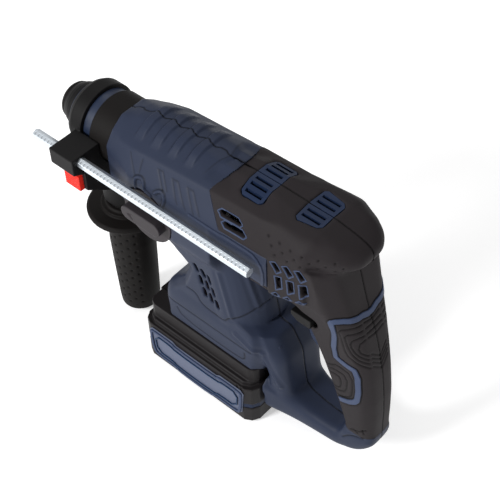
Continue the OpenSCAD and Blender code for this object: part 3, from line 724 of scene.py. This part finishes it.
rims = strips("opening_rims", opening_outlines(), 1.1, 0.35, closed=True, soft=0, flank=True)
trim(rims, "cover_left", "blue_accent", RIM)

# ---------- raised frame of the rod's channel
channel = [(-8, 204.2), (-56, 204.4), (-66.5, 203.4), (-72.3, 197), (-72.8, 181), (-69, 177.6),
           (-30, 177.4), (-6, 180)]
trim(strips("channel_frame", [channel], 2.4, 0.8, sides=(1,), flank=True), "housing_left",
     "blue_shell")

# ---------- nose and chuck, turned from x, radius profiles
stands_for(turned("nose_band", [
    (81.3, 24.1), (81.3, 25.4), (82, 26.1), (101, 26.1), (102.2, 25.4), (102.4, 24.1)]),
    "nose_ring")
stands_for(turned("chuck_sleeve", [
    (120.2, 13.1), (120.2, 17.9), (121, 18.7), (131.5, 18.7), (134, 18.2), (137, 17.0),
    (140, 15.3), (140.9, 14.9), (140.9, 13.1)]), "locking_sleeve")
stands_for(turned("chuck_cap", [
    (141.2, 12.3), (141.2, 14.6), (142, 14.9), (143.4, 14.4), (144.8, 13.2), (145.8, 11.6),
    (146.4, 9.6), (146.4, 6.4), (145.6, 5.8), (145.1, 5.8), (145.1, 12.3)]), "dust_cap")

# ---------- collar, knob, side handle, rod and switches
stands_for(part("collar_body", "handle_collar", 0.6, 5), "handle_collar")
stands_for(part("knob_body", "mode_knob", 0.45, 4), "mode_knob", KNOB)
stands_for(carved("grip_body", "side_grip", 0.6, 3, dimples), "side_grip")
stands_for(carved("rod_body", "depth_rod", 0.4, 2, ticks), "depth_rod")
stands_for(part("trigger_body", "trigger", 0.45, 14, back=0.5), "trigger")
stands_for(part("lever_body", "direction_lever", 0.45, 5), "direction_lever")
stands_for(part("button_body", "depth_button", 0.3, 2), "depth_button")

# ---------- battery, with a raised frame and a thin line over each label
stands_for(part("battery_base", "battery_lower", 0.6, 4), "battery_lower", PACK)
stands_for(part("battery_top", "battery_upper", 0.6, 4), "battery_upper", PACK)
stands_for(part("battery_stripe", "battery_band", 0.6, 3), "battery_band")
stands_for(part("latch_body", "battery_latch", 0.4, 3), "battery_latch")
stands_for(part("label_plate", "battery_labels", 0.4, 2), "battery_labels", LABEL)
edge = flat_strips("label_edge", [
    (-46.4, 12.8), (-43.4, 9.8), (-19.4, 9.8), (-16.4, 7.3), (17.4, 7.3), (20.4, 9.8), (41.2, 9.8),
    (45.4, 13.8), (47.2, 35.2), (45.2, 37.2), (24.4, 37.2), (20.4, 34.7), (-22.4, 34.7),
    (-26.4, 37.2), (-46.2, 37.2), (-48.2, 35.2)], 2.2, 0.45)
trim(edge, "battery_labels", "blue_accent", RIM)
line = flat_strips("label_line", [
    (-43, 14.4), (-24, 14.4), (-20, 11.6), (20, 11.6), (24, 14.4), (41.4, 14.4), (43, 32.8),
    (26, 32.8), (21, 30.2), (-24, 30.2), (-28, 32.8), (-44.4, 32.8)], 1.0, 0.2)
trim(line, "battery_labels", "blue_accent", LABEL_LINE)

# ---------- camera, floor and lights
# place in metres; turn about Z, tilt up from straight down and roll in degrees
CAMERA_PLACE = (-0.4143, 0.4140, 0.7787)
CAMERA_TURN, CAMERA_TILT, CAMERA_ROLL = -136.93, 42.09, -2.0
cam_data = bpy.data.cameras.new("camera")
cam_data.lens = 86.4
cam_data.sensor_width = 36
cam = bpy.data.objects.new("camera", cam_data)
scene.collection.objects.link(cam)
cam.matrix_world = (Matrix.Translation(CAMERA_PLACE)
                    @ Matrix.Rotation(math.radians(CAMERA_TURN), 4, "Z")
                    @ Matrix.Rotation(math.radians(CAMERA_TILT), 4, "X")
                    @ Matrix.Rotation(math.radians(CAMERA_ROLL), 4, "Z"))
scene.camera = cam


def floor_plate(half, z):
    """A flat floor, half its width to each side, at height z, in metres."""
    bm = bmesh.new()
    bmesh.ops.create_grid(bm, x_segments=8, y_segments=8, size=half)
    bmesh.ops.translate(bm, verts=bm.verts, vec=(0, 0, z))
    mesh = bpy.data.meshes.new("floor")
    bm.to_mesh(mesh)
    bm.free()
    return link("floor", mesh)


floor = floor_plate(6, -0.0002)
white = surface("floor_white", (0.88, 0.88, 0.88), 0.8, grain=60, bump=0.01, vary=0.01, spec=0.1)
glow = white.node_tree.nodes["Principled BSDF"].inputs
glow["Emission Color"].default_value = (1, 1, 1, 1)
glow["Emission Strength"].default_value = 0.4
floor.data.materials.append(white)


def lamp(name, power, size, place, aim):
    """A round soft light that faces aim."""
    d = bpy.data.lights.new(name, "AREA")
    d.energy = power
    d.shape = "DISK"
    d.size = size
    o = bpy.data.objects.new(name, d)
    scene.collection.objects.link(o)
    o.location = place
    o.rotation_mode = "QUATERNION"
    o.rotation_quaternion = (Vector(place) - Vector(aim)).to_track_quat("Z", "Y")


lamp("key", 30, 0.6, (0.5, 1.5, 1.0), (0, 0, 0.12))
lamp("fill", 3, 1.2, (-1.5, -0.2, 0.8), (0, 0, 0.12))
lamp("rim", 4, 0.8, (0.7, -0.6, 1.6), (0, 0, 0.15))
world = bpy.data.worlds.new("studio")
scene.world = world
world.use_nodes = True
world.node_tree.nodes["Background"].inputs["Color"].default_value = (1, 1, 1, 1)
world.node_tree.nodes["Background"].inputs["Strength"].default_value = 0.5
scene.view_settings.view_transform = "Standard"

bpy.context.view_layer.update()
